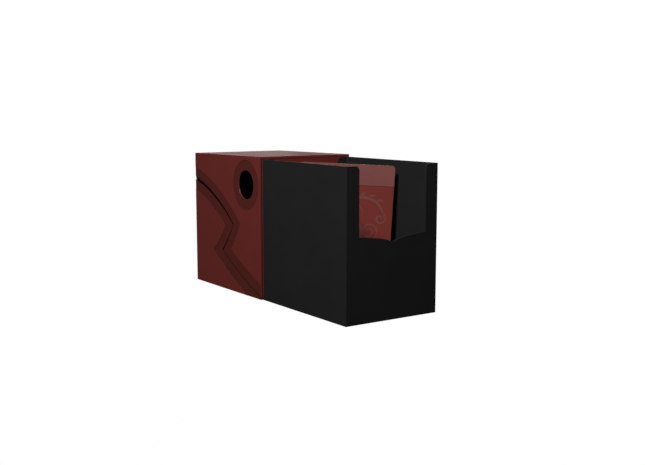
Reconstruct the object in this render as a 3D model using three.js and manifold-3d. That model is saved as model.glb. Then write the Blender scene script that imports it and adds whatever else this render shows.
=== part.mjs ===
// A card deck box: a red sleeve in two mouldings that part along an S-shaped line, a black
// open-topped tray with a red back plate that slides into the sleeve's open front, and a loose
// red divider in the tray.
//
// Millimetres. X is the width, Y the length (the sleeve mouth faces -Y), Z is up, and the
// object stands on Z = 0. The tray is modelled drawn out of the sleeve.

import * as THREE from "three";
import { mergeVertices } from "three/addons/utils/BufferGeometryUtils.js";
import Module from "manifold-3d";

const wasm = await Module();
wasm.setup();

// ---- driving dimensions -------------------------------------------------------------------

const CLEARANCE = 0.3; // running fit between the tray and the sleeve's walls
const ROOF_CLEARANCE = 0.2; // and between the tray and the roof
const MARGIN = 10; // how far a cutting solid runs past what it cuts

const SLEEVE = {
  width: 77.8,
  length: 99.4,
  height: 102, // at the mouth
  heightAtBack: 101.3, // the roof falls a little to the back
  roofInside: 100.4,
  wall: 1.4,
  edgeRadius: 0.3,
};

const TRAY = {
  width: SLEEVE.width - 2 * (SLEEVE.wall + CLEARANCE),
  length: 99.6,
  height: SLEEVE.roofInside - ROOF_CLEARANCE,
  wall: 1.4,
  floor: 2.6,
  cornerRadius: 0.3,
  insideRadius: 1.2,
};

// The V-bottomed thumb cut in the front and back walls of the tray.
const NOTCH = {
  halfWidth: 27.2,
  cornerRadius: 3,
  depthAtSide: 55.7, // heights above the ground, from the side of the cut to its point
  depthAtBreak: 53.4,
  depthAtPoint: 51.1,
  breakHalfWidth: 8.2,
};

// The red plate on the tray's back, which shows through the rear thumb cut.
const BACK_PLATE = {
  thickness: 1,
  gap: 0.1,
  cornerRadius: 0.8,
  fromGround: 1.5,
};

const FINGER_HOLE = {
  diameter: 21,
  ringDiameter: 36, // the recessed ring round it
  fromMouth: 20,
  height: 81,
};

const RECESS_DEPTH = 0.2; // of the bands beside the parting slit and round the finger hole

// The parting line on the sleeve's side, as [distance from the mouth, height].
const PARTING = {
  atBack: [99.4, 81.6],
  upperCorner: [39.4, 50.4],
  lowerCorner: [56.4, 29.3],
  atMouth: [0, 1.5],
  upperBulge: 3.9, // how far each stroke bows off its chord
  middleBulge: 0.8,
  lowerBulge: 1.4,
  upperSlit: [2.4, 1.1], // the slit's width where each stroke starts and ends
  middleSlit: [0.35, 0.9],
  lowerSlit: [0.35, 0.5],
  bandHalfWidth: 8.4,
};

// A thin tongue on the front moulding closes the slit from inside round the sleeve's back,
// and a rib on it stands in the slit round the corners.
const TONGUE = {
  thickness: 0.45,
  clearance: 0.25,
  fromMouth: 82,
  bottom: 76.5,
  top: 84,
};
const RIB = {
  thickness: 1,
  fromMouth: 97.2,
  bottom: 80.7,
};

const DIVIDER = {
  width: 66.4,
  height: 93.6,
  thickness: 1,
  topRadius: 2.3,
  bottomRadius: 1,
  yaw: THREE.MathUtils.degToRad(22.9), // it stands askew in the tray
  lean: THREE.MathUtils.degToRad(3.2),
  centre: { x: -1.6, fromTrayBack: 48.7, height: 51.6 },
};

const LABEL = {
  height: 14.3,
  thickness: 0.15,
  gap: 0.05,
};

const TRAY_GAP = 1; // between the drawn tray and the sleeve's mouth
const OVERALL_LENGTH = SLEEVE.length + TRAY_GAP + TRAY.length;
const SLEEVE_BACK = OVERALL_LENGTH / 2;
const SLEEVE_MOUTH = SLEEVE_BACK - SLEEVE.length;
const TRAY_BACK = SLEEVE_MOUTH - TRAY_GAP;
const TRAY_FRONT = TRAY_BACK - TRAY.length;

const ARC_STEPS = 24; // divisions of each stroke of the parting line
const CORNER_STEPS = 6; // divisions of a rounded corner of the thumb cut
const ROUND_STEPS = 4; // divisions of a quarter-round edge
const HOLE_STEPS = 72;

// ---- solids -------------------------------------------------------------------------------

// A three.js geometry as a manifold-3d solid.
function solidOf(geometry) {
  const bare = geometry.clone();
  bare.deleteAttribute("normal");
  bare.deleteAttribute("uv");
  const merged = mergeVertices(bare, 1e-4);
  const mesh = new wasm.Mesh({
    numProp: 3,
    vertProperties: new Float32Array(merged.attributes.position.array),
    triVerts: new Uint32Array(merged.index.array),
  });
  return new wasm.Manifold(mesh);
}

// A solid as a named three.js mesh.
function meshOf(name, solid, material) {
  const { vertProperties, triVerts } = solid.getMesh();
  const geometry = new THREE.BufferGeometry();
  geometry.setAttribute("position", new THREE.BufferAttribute(vertProperties, 3));
  geometry.setIndex(new THREE.BufferAttribute(triVerts, 1));
  geometry.computeVertexNormals();
  const mesh = new THREE.Mesh(geometry, material);
  mesh.name = name;
  return mesh;
}

function box(width, length, height, x, y, z) {
  const geometry = new THREE.BoxGeometry(width, length, height);
  return solidOf(geometry.translate(x, y, z + height / 2));
}

// A plan outline (X, Y) raised from one height to another.
function risen(shape, bottom, top) {
  const options = { depth: top - bottom, bevelEnabled: false };
  return solidOf(new THREE.ExtrudeGeometry(shape, options).translate(0, 0, bottom));
}

// A front outline (X, Z) run along Y from one place to another.
function runLengthwise(shape, from, to) {
  const options = { depth: to - from, bevelEnabled: false };
  const geometry = new THREE.ExtrudeGeometry(shape, options);
  return solidOf(geometry.rotateX(Math.PI / 2).translate(0, to, 0));
}

// A side outline (distance from the sleeve's mouth, Z) run across the width.
function runAcross(shape, from, to) {
  const options = { depth: to - from, bevelEnabled: false };
  const geometry = new THREE.ExtrudeGeometry(shape, options);
  const along = new THREE.Vector3(0, 1, 0);
  const up = new THREE.Vector3(0, 0, 1);
  const across = new THREE.Vector3(1, 0, 0);
  geometry.applyMatrix4(new THREE.Matrix4().makeBasis(along, up, across));
  return solidOf(geometry.translate(from, SLEEVE_MOUTH, 0));
}

// ---- outlines -----------------------------------------------------------------------------

// Points along an arc, both ends included.
function arc(x, y, radius, start, sweep, steps) {
  return Array.from({ length: steps + 1 }, (_, step) => {
    const angle = start + (sweep * step) / steps;
    return new THREE.Vector2(x + radius * Math.cos(angle), y + radius * Math.sin(angle));
  });
}

// A rectangle whose corners have their own radii, lower left first and then anticlockwise.
function roundedRectangle(left, bottom, right, top, radii) {
  const corners = [
    [left, bottom, 1, 1],
    [right, bottom, -1, 1],
    [right, top, -1, -1],
    [left, top, 1, -1],
  ];
  const points = corners.flatMap(([x, y, inX, inY], index) => {
    const radius = radii[index];
    if (radius === 0) return [new THREE.Vector2(x, y)];
    const start = Math.PI * (1 + index / 2);
    return arc(x + inX * radius, y + inY * radius, radius, start, Math.PI / 2, ROUND_STEPS);
  });
  return new THREE.Shape(points);
}

function circle(x, y, diameter) {
  return new THREE.Shape(arc(x, y, diameter / 2, 0, 2 * Math.PI, HOLE_STEPS).slice(1));
}

// The circle of an arc that bows off the chord from start to end, to the left of the way
// it runs when bulge is positive.
function arcCircle(start, end, bulge) {
  const chord = end.clone().sub(start);
  const half = chord.length() / 2;
  const radius = (half * half + bulge * bulge) / (2 * Math.abs(bulge));
  const left = new THREE.Vector2(-chord.y, chord.x).normalize();
  const middle = start.clone().add(end).multiplyScalar(0.5);
  const centre = middle.addScaledVector(left, bulge - Math.sign(bulge) * radius);
  return { centre, radius };
}

// Where two circles meet, the crossing that is nearer to a given point.
function crossing(a, b, near) {
  const between = b.centre.clone().sub(a.centre);
  const distance = between.length();
  const along = (distance ** 2 + a.radius ** 2 - b.radius ** 2) / (2 * distance);
  const aside = Math.sqrt(a.radius ** 2 - along ** 2);
  between.divideScalar(distance);
  const foot = a.centre.clone().addScaledVector(between, along);
  const side = new THREE.Vector2(-between.y, between.x);
  const both = [aside, -aside].map((step) => foot.clone().addScaledVector(side, step));
  return both.sort((p, q) => p.distanceTo(near) - q.distanceTo(near))[0];
}

const [atBack, upperCorner, lowerCorner, atMouth] = [
  PARTING.atBack,
  PARTING.upperCorner,
  PARTING.lowerCorner,
  PARTING.atMouth,
].map(([fromMouth, height]) => new THREE.Vector2(fromMouth, height));

// The three strokes of the parting line from the back to the mouth. The front moulding lies
// to the right of the way they run.
const STROKES = [
  { start: atBack, end: upperCorner, bulge: -PARTING.upperBulge, slit: PARTING.upperSlit },
  { start: upperCorner, end: lowerCorner, bulge: -PARTING.middleBulge, slit: PARTING.middleSlit },
  { start: lowerCorner, end: atMouth, bulge: PARTING.lowerBulge, slit: PARTING.lowerSlit },
];

// The strokes' circles moved evenly towards the front moulding.
function bandEdge(offset) {
  return STROKES.map(({ start, end, bulge }) => {
    const { centre, radius } = arcCircle(start, end, bulge);
    return { centre, radius: radius - Math.sign(bulge) * offset };
  });
}

// The circles of the slit's edge on one side: +1 for the front moulding's, -1 for the rear's.
function slitEdge(side) {
  return STROKES.map(({ start, end, bulge, slit }) => {
    const chord = end.clone().sub(start);
    const right = new THREE.Vector2(chord.y, -chord.x).normalize();
    const [from, to] = [start, end].map((point, index) =>
      point.clone().addScaledVector(right, (side * slit[index]) / 2),
    );
    return arcCircle(from, to, bulge);
  });
}

// The height of a stroke's circle at a distance from the mouth, on its upper or lower half.
function heightOn({ centre, radius }, fromMouth, half) {
  return centre.y + half * Math.sqrt(radius ** 2 - (fromMouth - centre.x) ** 2);
}

// The line that three circles make, as points that run from behind the sleeve's back to in
// front of its mouth.
function partingLine(circles) {
  const behind = SLEEVE.length + MARGIN;
  const ahead = -MARGIN;
  const knots = [
    new THREE.Vector2(behind, heightOn(circles[0], behind, 1)),
    crossing(circles[0], circles[1], upperCorner),
    crossing(circles[1], circles[2], lowerCorner),
    new THREE.Vector2(ahead, heightOn(circles[2], ahead, -1)),
  ];
  const strokes = circles.flatMap(({ centre, radius }, index) => {
    const start = knots[index].clone().sub(centre).angle();
    const end = knots[index + 1].clone().sub(centre).angle();
    const sweep = THREE.MathUtils.euclideanModulo(end - start + Math.PI, 2 * Math.PI) - Math.PI;
    return arc(centre.x, centre.y, radius, start, sweep, ARC_STEPS).slice(0, -1);
  });
  return [...strokes, knots[3]];
}

// What lies on one side of the parting line: +1 for the front moulding, -1 for the rear.
function sideOfParting(side) {
  const far = side > 0 ? SLEEVE.height + MARGIN : -2 * MARGIN;
  const outline = [
    ...partingLine(slitEdge(side)),
    new THREE.Vector2(-MARGIN, far),
    new THREE.Vector2(SLEEVE.length + MARGIN, far),
  ];
  return runAcross(new THREE.Shape(outline), -SLEEVE.width, SLEEVE.width);
}

function partingBand() {
  const half = PARTING.bandHalfWidth;
  const edges = [half, -half].map((offset) => partingLine(bandEdge(offset)));
  return new THREE.Shape([...edges[0], ...edges[1].reverse()]);
}

// ---- sleeve -------------------------------------------------------------------------------

function sleeveOutside() {
  const { width, length, height, heightAtBack, edgeRadius } = SLEEVE;
  const half = width / 2;
  const front = roundedRectangle(-half, 0, half, height, [0, 0, edgeRadius, edgeRadius]);
  const plan = roundedRectangle(-half, SLEEVE_MOUTH, half, SLEEVE_BACK, [
    0,
    0,
    edgeRadius,
    edgeRadius,
  ]);
  const roofEdge = [length - edgeRadius, heightAtBack - edgeRadius];
  const side = new THREE.Shape([
    new THREE.Vector2(0, 0),
    new THREE.Vector2(length, 0),
    ...arc(...roofEdge, edgeRadius, 0, Math.PI / 2, ROUND_STEPS),
    new THREE.Vector2(0, height),
  ]);
  return runLengthwise(front, SLEEVE_MOUTH, SLEEVE_BACK)
    .intersect(risen(plan, 0, height))
    .intersect(runAcross(side, -half, half));
}

// The sleeve has no floor: the tray's own floor closes it when it is shut.
function sleeveInside() {
  const width = SLEEVE.width - 2 * SLEEVE.wall;
  const back = SLEEVE_BACK - SLEEVE.wall;
  const front = SLEEVE_MOUTH - MARGIN;
  const height = SLEEVE.roofInside + MARGIN;
  return box(width, back - front, height, 0, (front + back) / 2, -MARGIN);
}

// The recessed bands on both sides: beside the parting line and round the finger hole.
function sideRecesses() {
  const outer = SLEEVE.width / 2;
  const ring = circle(FINGER_HOLE.fromMouth, FINGER_HOLE.height, FINGER_HOLE.ringDiameter);
  const onBothSides = (shape) =>
    [1, -1]
      .map((side) => {
        const inner = side * (outer - RECESS_DEPTH);
        const past = side * (outer + MARGIN);
        return runAcross(shape, Math.min(inner, past), Math.max(inner, past));
      })
      .reduce((left, right) => left.add(right));
  return onBothSides(partingBand()).add(onBothSides(ring));
}

function sleeve() {
  const hole = circle(FINGER_HOLE.fromMouth, FINGER_HOLE.height, FINGER_HOLE.diameter);
  return sleeveOutside()
    .subtract(sleeveInside())
    .subtract(sideRecesses())
    .subtract(runAcross(hole, -SLEEVE.width, SLEEVE.width));
}

// The inner layer of the walls round the sleeve's back, between two heights.
function innerLayer(depth, fromMouth, bottom, top) {
  const width = SLEEVE.width - 2 * SLEEVE.wall + 2 * depth;
  const front = SLEEVE_MOUTH + fromMouth;
  const back = SLEEVE_BACK - SLEEVE.wall + depth;
  const layer = box(width, back - front, top - bottom, 0, (front + back) / 2, bottom);
  return layer.subtract(sleeveInside());
}

function frontShell(whole) {
  const tongue = innerLayer(TONGUE.thickness, TONGUE.fromMouth, TONGUE.bottom, TONGUE.top);
  const rib = innerLayer(RIB.thickness, RIB.fromMouth, RIB.bottom, TONGUE.top);
  return whole.intersect(sideOfParting(1)).add(tongue).add(rib);
}

// The rear moulding is thinned where the tongue lies behind it and where it slides past.
function rearShell(whole) {
  const { thickness, clearance, bottom } = TONGUE;
  const rebate = innerLayer(
    thickness + clearance,
    SLEEVE.length / 2,
    bottom - clearance,
    SLEEVE.height,
  );
  return whole.intersect(sideOfParting(-1)).subtract(rebate);
}

// ---- tray ---------------------------------------------------------------------------------

function notchOutline() {
  const { halfWidth, cornerRadius, breakHalfWidth } = NOTCH;
  const top = TRAY.height;
  const shoulder = halfWidth + cornerRadius;
  const rounding = arc(shoulder, top - cornerRadius, cornerRadius, Math.PI, -Math.PI / 2, CORNER_STEPS);
  const rightHalf = [
    new THREE.Vector2(breakHalfWidth, NOTCH.depthAtBreak),
    new THREE.Vector2(halfWidth, NOTCH.depthAtSide),
    ...rounding,
    new THREE.Vector2(shoulder, top + MARGIN),
  ];
  const leftHalf = rightHalf.map((point) => new THREE.Vector2(-point.x, point.y)).reverse();
  return new THREE.Shape([...leftHalf, new THREE.Vector2(0, NOTCH.depthAtPoint), ...rightHalf]);
}

function tray() {
  const half = TRAY.width / 2;
  const radii = (radius) => [radius, radius, radius, radius];
  const outline = roundedRectangle(-half, TRAY_FRONT, half, TRAY_BACK, radii(TRAY.cornerRadius));
  const inside = roundedRectangle(
    TRAY.wall - half,
    TRAY_FRONT + TRAY.wall,
    half - TRAY.wall,
    TRAY_BACK - TRAY.wall,
    radii(TRAY.insideRadius),
  );

  return risen(outline, 0, TRAY.height)
    .subtract(risen(inside, TRAY.floor, TRAY.height + MARGIN))
    .subtract(runLengthwise(notchOutline(), TRAY_FRONT - MARGIN, TRAY_BACK + MARGIN));
}

function backPlate() {
  const { thickness, gap, cornerRadius } = BACK_PLATE;
  const half = TRAY.width / 2;
  const shape = roundedRectangle(-half, BACK_PLATE.fromGround, half, TRAY.height, [
    0,
    0,
    cornerRadius,
    cornerRadius,
  ]);
  const front = TRAY_BACK + gap;
  return runLengthwise(shape, front, front + thickness);
}

// ---- divider ------------------------------------------------------------------------------

// The divider is drawn upright round its own centre, its printed face to -Y.
function dividerPanel() {
  const { width, height, thickness, topRadius, bottomRadius } = DIVIDER;
  const shape = roundedRectangle(-width / 2, -height / 2, width / 2, height / 2, [
    bottomRadius,
    bottomRadius,
    topRadius,
    topRadius,
  ]);
  return runLengthwise(shape, -thickness / 2, thickness / 2);
}

function dividerLabel() {
  const { width, height, thickness, topRadius } = DIVIDER;
  const top = height / 2;
  const shape = roundedRectangle(-width / 2, top - LABEL.height, width / 2, top, [
    0,
    0,
    topRadius,
    topRadius,
  ]);
  const back = -thickness / 2 - LABEL.gap;
  return runLengthwise(shape, back - LABEL.thickness, back);
}

// ---- assembly -----------------------------------------------------------------------------

const plastic = (color, roughness) => new THREE.MeshStandardMaterial({ color, roughness });
const crimson = 0x5a2420;
const nearBlack = 0x202122;
const brick = 0x662b27;
const dustyRose = 0x764845;

const whole = sleeve();
const deckBox = new THREE.Group();
deckBox.add(
  meshOf("rear_shell", rearShell(whole), plastic(crimson, 0.45)),
  meshOf("front_shell", frontShell(whole), plastic(crimson, 0.45)),
  meshOf("inner_tray", tray(), plastic(nearBlack, 0.55)),
  meshOf("back_plate", backPlate(), plastic(crimson, 0.5)),
);

const divider = new THREE.Group();
divider.add(
  meshOf("divider_panel", dividerPanel(), plastic(brick, 0.5)),
  meshOf("divider_label", dividerLabel(), plastic(dustyRose, 0.8)),
);
divider.rotation.set(0, DIVIDER.lean, -DIVIDER.yaw, "ZYX");
divider.position.set(
  DIVIDER.centre.x,
  TRAY_BACK - DIVIDER.centre.fromTrayBack,
  DIVIDER.centre.height,
);
deckBox.add(divider);

export default deckBox;
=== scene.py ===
"""A card deck box: a two-part red sleeve, a black tray drawn out of it, and a loose divider.

Metres, in the CAD model's frame: X is the width, Y the length (the tray's front faces -Y), Z up.
"""

import math

import bmesh
import bpy
from mathutils import Matrix, Vector


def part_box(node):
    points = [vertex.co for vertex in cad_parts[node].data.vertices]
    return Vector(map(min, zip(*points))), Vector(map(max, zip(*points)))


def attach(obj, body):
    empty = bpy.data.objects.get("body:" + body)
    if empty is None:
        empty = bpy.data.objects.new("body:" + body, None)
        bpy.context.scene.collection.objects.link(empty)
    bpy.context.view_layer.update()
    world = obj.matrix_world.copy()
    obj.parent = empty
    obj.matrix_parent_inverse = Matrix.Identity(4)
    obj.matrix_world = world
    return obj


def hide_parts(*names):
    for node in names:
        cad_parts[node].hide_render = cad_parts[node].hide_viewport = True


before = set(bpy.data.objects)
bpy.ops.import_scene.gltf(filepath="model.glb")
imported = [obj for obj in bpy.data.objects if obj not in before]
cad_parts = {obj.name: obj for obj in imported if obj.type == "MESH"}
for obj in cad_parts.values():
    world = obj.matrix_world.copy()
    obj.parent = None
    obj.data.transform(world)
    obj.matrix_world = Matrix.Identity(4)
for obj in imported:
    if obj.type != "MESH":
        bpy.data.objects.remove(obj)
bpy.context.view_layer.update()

MM = 0.001

# ---- node helpers -------------------------------------------------------------------------

MIX_FACTOR, MIX_FIRST, MIX_SECOND = 0, 6, 7  # a Mix node's inputs for colours
MIX_RESULT = 2  # and its output


class Nodes:
    """A short way to write a node tree: add a node, and join it to what feeds it."""

    def __init__(self, tree):
        self.tree = tree

    def add(self, kind, feeds=(), **settings):
        node = self.tree.nodes.new(kind)
        for name, value in settings.items():
            setattr(node, name, value)
        for socket, source in dict(feeds).items():
            self.put(node.inputs[socket], source)
        return node

    def put(self, socket, source):
        if isinstance(source, bpy.types.NodeSocket):
            self.tree.links.new(source, socket)
        else:
            socket.default_value = source

    def noise(self, size_mm, detail, roughness, distortion=0.0):
        """Noise fixed to the piece, with features of about size_mm."""
        feeds = {
            "Vector": self.add("ShaderNodeTexCoord").outputs["Object"],
            "Scale": 1 / (size_mm * MM),
            "Detail": detail,
            "Roughness": roughness,
            "Distortion": distortion,
        }
        return self.add("ShaderNodeTexNoise", feeds).outputs["Fac"]

    def between(self, value, low, high, from_low=0.0, from_high=1.0):
        """A value from from_low to from_high, carried over to low to high and held there."""
        feeds = {
            "Value": value,
            "From Min": from_low,
            "From Max": from_high,
            "To Min": low,
            "To Max": high,
        }
        return self.add("ShaderNodeMapRange", feeds).outputs["Result"]

    def mix(self, factor, first, second, blend="MIX"):
        node = self.add("ShaderNodeMix", data_type="RGBA", blend_type=blend)
        self.put(node.inputs[MIX_FACTOR], factor)
        self.put(node.inputs[MIX_FIRST], first)
        self.put(node.inputs[MIX_SECOND], second)
        return node.outputs[MIX_RESULT]

    def times(self, first, second):
        node = self.add("ShaderNodeMath", operation="MULTIPLY")
        self.put(node.inputs[0], first)
        self.put(node.inputs[1], second)
        return node.outputs[0]


def linear(red, green, blue):
    """An sRGB colour in 0 to 255 as linear light, by the standard's own curve."""

    def channel(value):
        value /= 255
        return value / 12.92 if value <= 0.04045 else ((value + 0.055) / 1.055) ** 2.4

    return Vector((channel(red), channel(green), channel(blue)))


def opaque(colour):
    return (*colour, 1.0)


FLOW = {"size_mm": 24, "detail": 3, "roughness": 0.55}
SCUFFS = {"size_mm": 5, "detail": 6, "roughness": 0.75, "distortion": 1.2}
GRAIN = {"detail": 2, "roughness": 0.6}
GRAIN_BUMP = 0.3  # the share of the grain's depth that its shading shows
FLOW_SPAN = (0.35, 0.65)  # the noise values between which each effect sets in
GRAIN_SPAN = (0.3, 0.7)
RUBBED_SPAN = (0.42, 0.62)
SHEEN_SPAN = (0.35, 0.65)
SMOOTHER, ROUGHER = 0.04, 0.06  # how far the roughness strays either way
EDGE_REACH = 0.25  # mm that rubbing reaches in from an edge
EDGE_SAMPLES = 4
EDGE_SPAN = (0.82, 0.99)  # the cosines of the turn at a fully rubbed and at an unrubbed place


def surface(name, colour, worn, roughness, specular, grain_mm, grain_depth, mottle):
    """A surface with fine grain, soft mottling, scuffs and rubbed edges.

    The grain's size and depth are in mm, and mottle is the share by which the colour strays.
    """
    material = bpy.data.materials.new(name)
    material.use_nodes = True
    nodes = Nodes(material.node_tree)
    shader = material.node_tree.nodes["Principled BSDF"]

    flow = nodes.noise(**FLOW)
    fine = nodes.noise(grain_mm, **GRAIN)
    scuffs = nodes.noise(**SCUFFS)

    feeds = {"Radius": EDGE_REACH * MM}
    rounded = nodes.add("ShaderNodeBevel", feeds, samples=EDGE_SAMPLES)
    facing = nodes.add("ShaderNodeVectorMath", operation="DOT_PRODUCT")
    nodes.put(facing.inputs[0], rounded.outputs["Normal"])
    nodes.put(facing.inputs[1], nodes.add("ShaderNodeNewGeometry").outputs["True Normal"])
    edge = nodes.between(facing.outputs["Value"], 1.0, 0.0, *EDGE_SPAN)
    rubbed = nodes.times(edge, nodes.between(scuffs, 0.0, 1.0, *RUBBED_SPAN))

    body = nodes.mix(
        nodes.between(flow, 0.0, 1.0, *FLOW_SPAN),
        opaque(colour * (1 - mottle)),
        opaque(colour * (1 + mottle)),
    )
    grain = nodes.mix(
        nodes.between(fine, 0.0, 1.0, *GRAIN_SPAN),
        opaque(Vector((1 - mottle,) * 3)),
        opaque(Vector((1 + mottle,) * 3)),
    )
    grained = nodes.mix(1.0, body, grain, "MULTIPLY")
    nodes.put(shader.inputs["Base Color"], nodes.mix(rubbed, grained, opaque(worn)))
    rough = nodes.between(scuffs, roughness - SMOOTHER, roughness + ROUGHER, *SHEEN_SPAN)
    nodes.put(shader.inputs["Roughness"], rough)
    nodes.put(shader.inputs["Specular IOR Level"], specular)
    feeds = {"Strength": GRAIN_BUMP, "Distance": grain_depth * MM, "Height": fine}
    bump = nodes.add("ShaderNodeBump", feeds)
    nodes.put(shader.inputs["Normal"], bump.outputs["Normal"])
    return material


# ---- materials ----------------------------------------------------------------------------

SLEEVE_RED = surface(
    "sleeve_red",
    colour=linear(98, 37, 32),
    worn=linear(108, 45, 39),
    roughness=0.42,
    specular=0.4,
    grain_mm=0.35,
    grain_depth=0.003,
    mottle=0.025,
)
# The bands' own duller red, which is also painted shade on the back plate's narrow edges.
BAND_AND_SHADE_RED = surface(
    "sleeve_band_and_painted_shade",
    colour=linear(76, 30, 26),
    worn=linear(83, 35, 30),
    roughness=0.6,
    specular=0.15,
    grain_mm=0.3,
    grain_depth=0.01,
    mottle=0.025,
)
# Painted shade: near-black for the slit's cut faces, whose plastic is the sleeve's red.
SLIT_PAINTED_SHADE = surface(
    "sleeve_slit_painted_shade",
    colour=linear(16, 9, 8),
    worn=linear(24, 13, 12),
    roughness=0.8,
    specular=0.05,
    grain_mm=0.3,
    grain_depth=0.01,
    mottle=0.025,
)
TRAY_BLACK = surface(
    "tray_black",
    colour=linear(30, 30, 30),
    worn=linear(40, 40, 40),
    roughness=0.6,
    specular=0.08,
    grain_mm=0.4,
    grain_depth=0.008,
    mottle=0.05,
)
DIVIDER_RED = surface(
    "divider_red",
    colour=linear(116, 48, 43),
    worn=linear(130, 61, 55),
    roughness=0.55,
    specular=0.2,
    grain_mm=0.25,
    grain_depth=0.004,
    mottle=0.025,
)
PRINT_GREY = surface(
    "divider_print",
    colour=linear(116, 66, 62),
    worn=linear(124, 74, 70),
    roughness=0.65,
    specular=0.15,
    grain_mm=0.25,
    grain_depth=0.004,
    mottle=0.04,
)
LABEL_PINK = surface(
    "label_pink",
    colour=linear(121, 71, 67),
    worn=linear(134, 86, 82),
    roughness=0.8,
    specular=0.15,
    grain_mm=0.45,
    grain_depth=0.02,
    mottle=0.07,
)

# ---- from a CAD node to a finished piece --------------------------------------------------

SAME_PLACE = 0.001 * MM  # corners closer than this are one
FLAT = math.radians(0.5)  # faces that turn less than this are one
SHARP = math.radians(35)  # an edge that turns more than this is rounded
ROUNDING_STEPS = 3
ALL_BY_AREA = 100  # the weight at which a corner takes its normal from its largest face


def finished_copy(node, name, body, materials, round_mm, material_index_of=None, rounding_of=None):
    """A CAD node's shape as a new piece: flat faces made whole, edges rounded, materials and any
    painted shade set.

    finish(centre, normal) gives the index of a face's material, and rounding_of(middle) the
    share of round_mm that an edge gets.
    """
    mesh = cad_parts[node].data.copy()
    mesh.materials.clear()
    for material in materials:
        mesh.materials.append(material)
    shape = bmesh.new()
    shape.from_mesh(mesh)
    bmesh.ops.remove_doubles(shape, verts=shape.verts, dist=SAME_PLACE)
    bmesh.ops.dissolve_limit(
        shape, angle_limit=FLAT, verts=shape.verts, edges=shape.edges, delimit={"NORMAL"}
    )
    shape.normal_update()
    for face in shape.faces:
        face.smooth = True
        face.material_index = material_index_of(face.calc_center_median(), face.normal) if material_index_of else 0
    weights = shape.edges.layers.float.new("bevel_weight_edge")
    for edge in shape.edges:
        if edge.calc_face_angle(0) > SHARP:
            middle = (edge.verts[0].co + edge.verts[1].co) / 2
            edge[weights] = rounding_of(middle) if rounding_of else 1.0
    shape.to_mesh(mesh)
    shape.free()

    piece = bpy.data.objects.new(name, mesh)
    bpy.context.scene.collection.objects.link(piece)
    rounding = piece.modifiers.new("rounding", "BEVEL")
    rounding.width = round_mm * MM
    rounding.segments = ROUNDING_STEPS
    rounding.limit_method = "WEIGHT"
    rounding.use_clamp_overlap = False
    shading = piece.modifiers.new("flat_faces", "WEIGHTED_NORMAL")
    shading.mode = "FACE_AREA"
    shading.weight = ALL_BY_AREA
    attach(piece, body)
    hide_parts(node)
    return piece


SLEEVE_LOW, SLEEVE_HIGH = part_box("rear_shell")
HOLE = {"from_mouth": 20 * MM, "height": 81 * MM, "radius": 10.5 * MM}
WALL = 1.4 * MM
ROOF_FROM = 100 * MM  # the height above which every face belongs to the roof
ROOF_EDGE = 101.2 * MM  # the height above which every edge is on the roof's outside
RECESS = 0.2 * MM
A_LITTLE = 0.05 * MM
SIDEWAYS = 0.9  # a side wall's face has at least this much of its normal along X
PLATE_FACING = 0.5  # and the plate's broad faces this much along Y
HOLE_RIM, OUTSIDE_EDGE = 0.6, 0.3  # the shares of the rounding that these edges get
# The sleeve's material slots: its own red, the bands' duller red (also painted shade on the plate's
# edges), and the slit's painted shade.
OWN_RED, DULL_BAND_AND_SHADE, SLIT_SHADE = range(3)


def from_hole(place):
    """How far a place is from a finger hole's axis."""
    along = place.y - SLEEVE_LOW.y - HOLE["from_mouth"]
    return math.hypot(along, place.z - HOLE["height"])


def depth_in_wall(place):
    """How far a place is in from the outside of the side and back walls."""
    return min(SLEEVE_HIGH.x - abs(place.x), SLEEVE_HIGH.y - place.y)


def sleeve_finish_and_shade(centre, normal):
    """The recessed bands take their own duller red, and the slit's cut faces take painted shade:
    near-black, for the shade inside the gap.
    """
    depth = depth_in_wall(centre)
    if abs(normal.x) > SIDEWAYS and abs(depth - RECESS) < A_LITTLE:
        return DULL_BAND_AND_SHADE
    inside_wall = A_LITTLE < depth < WALL - A_LITTLE
    at_mouth = centre.y - SLEEVE_LOW.y < A_LITTLE
    at_roof_or_ground = not A_LITTLE < centre.z < ROOF_FROM
    in_hole = from_hole(centre) < HOLE["radius"] + A_LITTLE
    plain = not inside_wall or at_mouth or at_roof_or_ground or in_hole
    return OWN_RED if plain else SLIT_SHADE


def plate_finish_and_shade(centre, normal):
    """The red plate's narrow edges take the bands' duller red as painted shade, darker than its lit
    faces.
    """
    return DULL_BAND_AND_SHADE if abs(normal.y) < PLATE_FACING else OWN_RED


def sleeve_rounding(middle):
    """Outside edges are rounded a little, the finger holes' rims more, inside edges not at all."""
    outside = depth_in_wall(middle) < RECESS + A_LITTLE
    at_mouth = middle.y - SLEEVE_LOW.y < A_LITTLE
    if outside and abs(from_hole(middle) - HOLE["radius"]) < A_LITTLE:
        return HOLE_RIM
    return OUTSIDE_EDGE if outside or at_mouth or middle.z > ROOF_EDGE else 0


SLEEVE = {
    "materials": [SLEEVE_RED, BAND_AND_SHADE_RED, SLIT_PAINTED_SHADE],
    "round_mm": 0.4,
    "material_index_of": sleeve_finish_and_shade,
    "rounding_of": sleeve_rounding,
}
finished_copy("front_shell", "sleeve_front", "front_half", **SLEEVE)
finished_copy("rear_shell", "sleeve_rear", "rear_half", **SLEEVE)
finished_copy("inner_tray", "tray", "tray", [TRAY_BLACK], 0.15)
PLATE = {"materials": [SLEEVE_RED, BAND_AND_SHADE_RED], "round_mm": 0.1, "material_index_of": plate_finish_and_shade}
finished_copy("back_plate", "tray_back_plate", "tray", **PLATE)
finished_copy("divider_panel", "divider", "divider", [DIVIDER_RED], 0.12)
finished_copy("divider_label", "divider_strip", "divider", [LABEL_PINK], 0.05)

# ---- the scroll print on the divider ------------------------------------------------------

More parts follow.
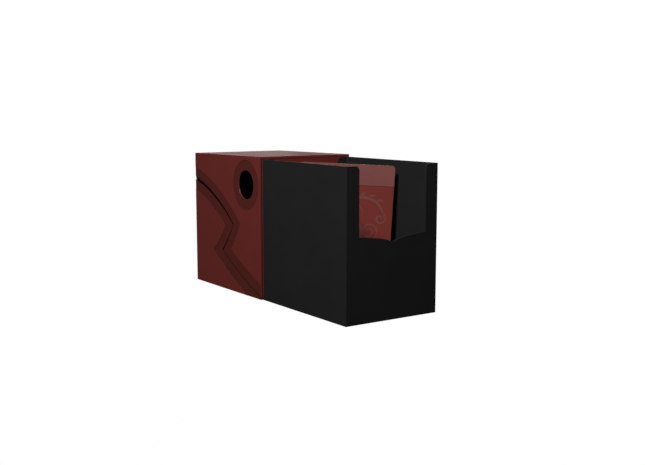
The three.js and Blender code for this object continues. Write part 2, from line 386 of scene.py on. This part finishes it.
DIVIDER = {
    "centre": Vector((-1.6, -49.1, 51.6)) * MM,
    "yaw": math.radians(22.9),
    "lean": math.radians(3.2),
    "thickness": 1.0,
}
PRINT_DEPTH = 0.05  # mm that the ink stands proud
PRINT_BITE = 0.02  # and how far it sinks into the panel
CURL_STEPS = 40
LEAF_STEPS = 8
STROKE_ENDS = 0.25  # a stroke's width at its ends, as a share of its width at its middle
ORNAMENTS = (2, -31)  # the heights of the two ornaments on the panel, in mm
STEM = {"x": 12, "above": 6, "radius": 16.6}  # the arc that the sprigs grow from
SPRIGS = range(154, 53, -20)  # their places on it, in degrees


def direction(degrees):
    return Vector((math.cos(math.radians(degrees)), math.sin(math.radians(degrees))))


def curl(x, z, outer, inner, start, turns):
    """A spiral from its outer end inwards, as (x, z) in mm on the divider's face.

    start is in degrees, and negative turns run clockwise.
    """
    points = []
    for step in range(CURL_STEPS + 1):
        share = step / CURL_STEPS
        radius = outer + (inner - outer) * share
        points.append(Vector((x, z)) + radius * direction(start + 360 * turns * share))
    return points


def leaf(x, z, heading, length, bend):
    """A short stroke that sets off at heading and turns by bend on its way, in degrees."""
    points = []
    for step in range(LEAF_STEPS + 1):
        share = step / LEAF_STEPS
        points.append(Vector((x, z)) + length * share * direction(heading + bend * share))
    return points


def ink(shape, points, width):
    """One stroke, widest at its middle, as a thin closed strip on the divider's face."""
    front = -DIVIDER["thickness"] / 2 - PRINT_DEPTH
    back = -DIVIDER["thickness"] / 2 + PRINT_BITE
    rings = []
    last = len(points) - 1
    for index, point in enumerate(points):
        along = points[min(index + 1, last)] - points[max(index - 1, 0)]
        along.normalize()
        aside = Vector((-along.y, along.x))
        swell = STROKE_ENDS + (1 - STROKE_ENDS) * math.sin(math.pi * index / last)
        edges = [point + aside * side * width / 2 * swell for side in (1, -1)]
        corners = [(edges[0], front), (edges[1], front), (edges[1], back), (edges[0], back)]
        rings.append([shape.verts.new((at.x, depth, at.y)) for at, depth in corners])
    for first, second in zip(rings, rings[1:]):
        for corner in range(4):
            after = (corner + 1) % 4
            shape.faces.new((first[corner], second[corner], second[after], first[after]))
    shape.faces.new(rings[0])
    shape.faces.new(reversed(rings[-1]))


def scrollwork():
    """Two plain scroll ornaments for the panel's right half: strokes with their widths, in mm."""
    strokes = []
    for height in ORNAMENTS:
        strokes += [
            (curl(17, height - 1, 7.2, 0.9, 190, 2.1), 0.9),
            (curl(12, height + 6, 17.5, 15.5, 176, -0.46), 2.0),
            (curl(24.5, height + 8, 4.4, 0.7, 75, -1.3), 1.3),
            (curl(5, height + 12, 7, 1.0, 350, 1.4), 1.3),
            (curl(3, height - 2, 9.5, 7.5, 60, -0.42), 2.2),
            (leaf(9, height + 8, 215, 9, 50), 2.6),
        ]
        for place in SPRIGS:
            foot = Vector((STEM["x"], height + STEM["above"])) + STEM["radius"] * direction(place)
            strokes.append((leaf(*foot, place + 20, 4, -70), 1.4))
    return strokes


def make_print():
    """The ornaments and their mirror images, laid on the divider's face."""
    shape = bmesh.new()
    for points, width in scrollwork():
        ink(shape, points, width)
        ink(shape, [Vector((-point.x, point.y)) for point in points], width)
    bmesh.ops.recalc_face_normals(shape, faces=shape.faces)
    pose = (
        Matrix.Translation(DIVIDER["centre"])
        @ Matrix.Rotation(-DIVIDER["yaw"], 4, "Z")
        @ Matrix.Rotation(DIVIDER["lean"], 4, "Y")
        @ Matrix.Scale(MM, 4)
    )
    shape.transform(pose)
    mesh = bpy.data.meshes.new("divider_print")
    shape.to_mesh(mesh)
    shape.free()
    mesh.materials.append(PRINT_GREY)
    piece = bpy.data.objects.new("divider_print", mesh)
    bpy.context.scene.collection.objects.link(piece)
    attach(piece, "divider")


make_print()

# ---- camera, light and floor --------------------------------------------------------------

CAMERA = {  # metres, degrees, and mm for the lens and sensor
    "place": (-0.3609, -0.5421, 0.1331),
    "turn": 34.683,
    "down": 7.636,
    "lens": 50.12,
    "sensor": 36,
    "nearest": 0.01,
}
ROOM_GLOW = 0.03  # the share of the room's white that it gives back as light
ROOM_REACH = 0.2  # how far from a floor point things hide the room from it
ROOM_SAMPLES = 16
ENCLOSED = (0.15, 0.3)  # the shares of the room that a floor point sees at full painted shade and at none
FLOOR_HALF = 20.0
LIGHTS = {
    "key": {
        "place": (-0.53, -0.345, 0.66),
        "target": (0, -0.02, 0.05),
        "size": (0.2, 0.2),
        "watts": 10.2,
    },
    "sheen": {
        "place": (0.45, 0.97, 0.17),
        "target": (0, 0.05, 0.1),
        "size": (0.28, 0.2),
        "watts": 0.32,
    },
    "back": {
        "place": (0.78, 0.58, 0.55),
        "target": (0, 0, 0.05),
        "size": (0.4, 0.4),
        "watts": 5,
    },
}


def make_camera():
    camera = bpy.data.objects.new("camera", bpy.data.cameras.new("camera"))
    camera.location = CAMERA["place"]
    camera.rotation_euler = (math.radians(90 - CAMERA["down"]), 0, math.radians(-CAMERA["turn"]))
    camera.data.lens = CAMERA["lens"]
    camera.data.sensor_width = CAMERA["sensor"]
    camera.data.clip_start = CAMERA["nearest"]
    bpy.context.scene.collection.objects.link(camera)
    bpy.context.scene.camera = camera


def soft_light(name, place, target, size, watts):
    data = bpy.data.lights.new(name, "AREA")
    data.shape = "RECTANGLE"
    data.size, data.size_y = size
    data.energy = watts
    light = bpy.data.objects.new(name, data)
    light.location = place
    beam = Vector(target) - Vector(place)
    light.rotation_euler = beam.to_track_quat("-Z", "Y").to_euler()
    bpy.context.scene.collection.objects.link(light)


def floor_white_painted_shade():
    """The studio floor: white to the eye, with painted shade in enclosed places, and giving back
    little light.
    """
    white = bpy.data.materials.new("floor_white_painted_shade")
    white.use_nodes = True
    nodes = Nodes(white.node_tree)
    seen = nodes.add("ShaderNodeLightPath").outputs["Is Camera Ray"]
    feeds = {"Distance": ROOM_REACH}
    openness = nodes.add("ShaderNodeAmbientOcclusion", feeds, samples=ROOM_SAMPLES)
    # Painted shade: the floor's glow fades to black where the floor is enclosed.
    outside_painted_shade = nodes.between(openness.outputs["AO"], 0.0, 1.0, *ENCLOSED)
    strength = nodes.times(nodes.between(seen, ROOM_GLOW, 1.0), outside_painted_shade)
    glow = nodes.add("ShaderNodeEmission", {"Strength": strength})
    nodes.put(white.node_tree.nodes["Material Output"].inputs["Surface"], glow.outputs["Emission"])
    return white


def make_floor():
    mesh = bpy.data.meshes.new("floor")
    corners = [(FLOOR_HALF * x, FLOOR_HALF * y, 0) for x, y in ((-1, -1), (1, -1), (1, 1), (-1, 1))]
    mesh.from_pydata(corners, [], [(0, 1, 2, 3)])
    mesh.materials.append(floor_white_painted_shade())
    floor = bpy.data.objects.new("floor", mesh)
    bpy.context.scene.collection.objects.link(floor)


def make_room():
    """The backdrop: white to the eye, and giving back as little light as the floor."""
    world = bpy.data.worlds.new("studio")
    bpy.context.scene.world = world
    world.use_nodes = True
    nodes = Nodes(world.node_tree)
    seen = nodes.add("ShaderNodeLightPath").outputs["Is Camera Ray"]
    background = world.node_tree.nodes["Background"]
    nodes.put(background.inputs["Strength"], nodes.between(seen, ROOM_GLOW, 1.0))
    nodes.put(background.inputs["Color"], opaque((1, 1, 1)))


make_camera()
for light_name, light in LIGHTS.items():
    soft_light(light_name, **light)
make_floor()
make_room()
bpy.context.scene.view_settings.view_transform = "Standard"
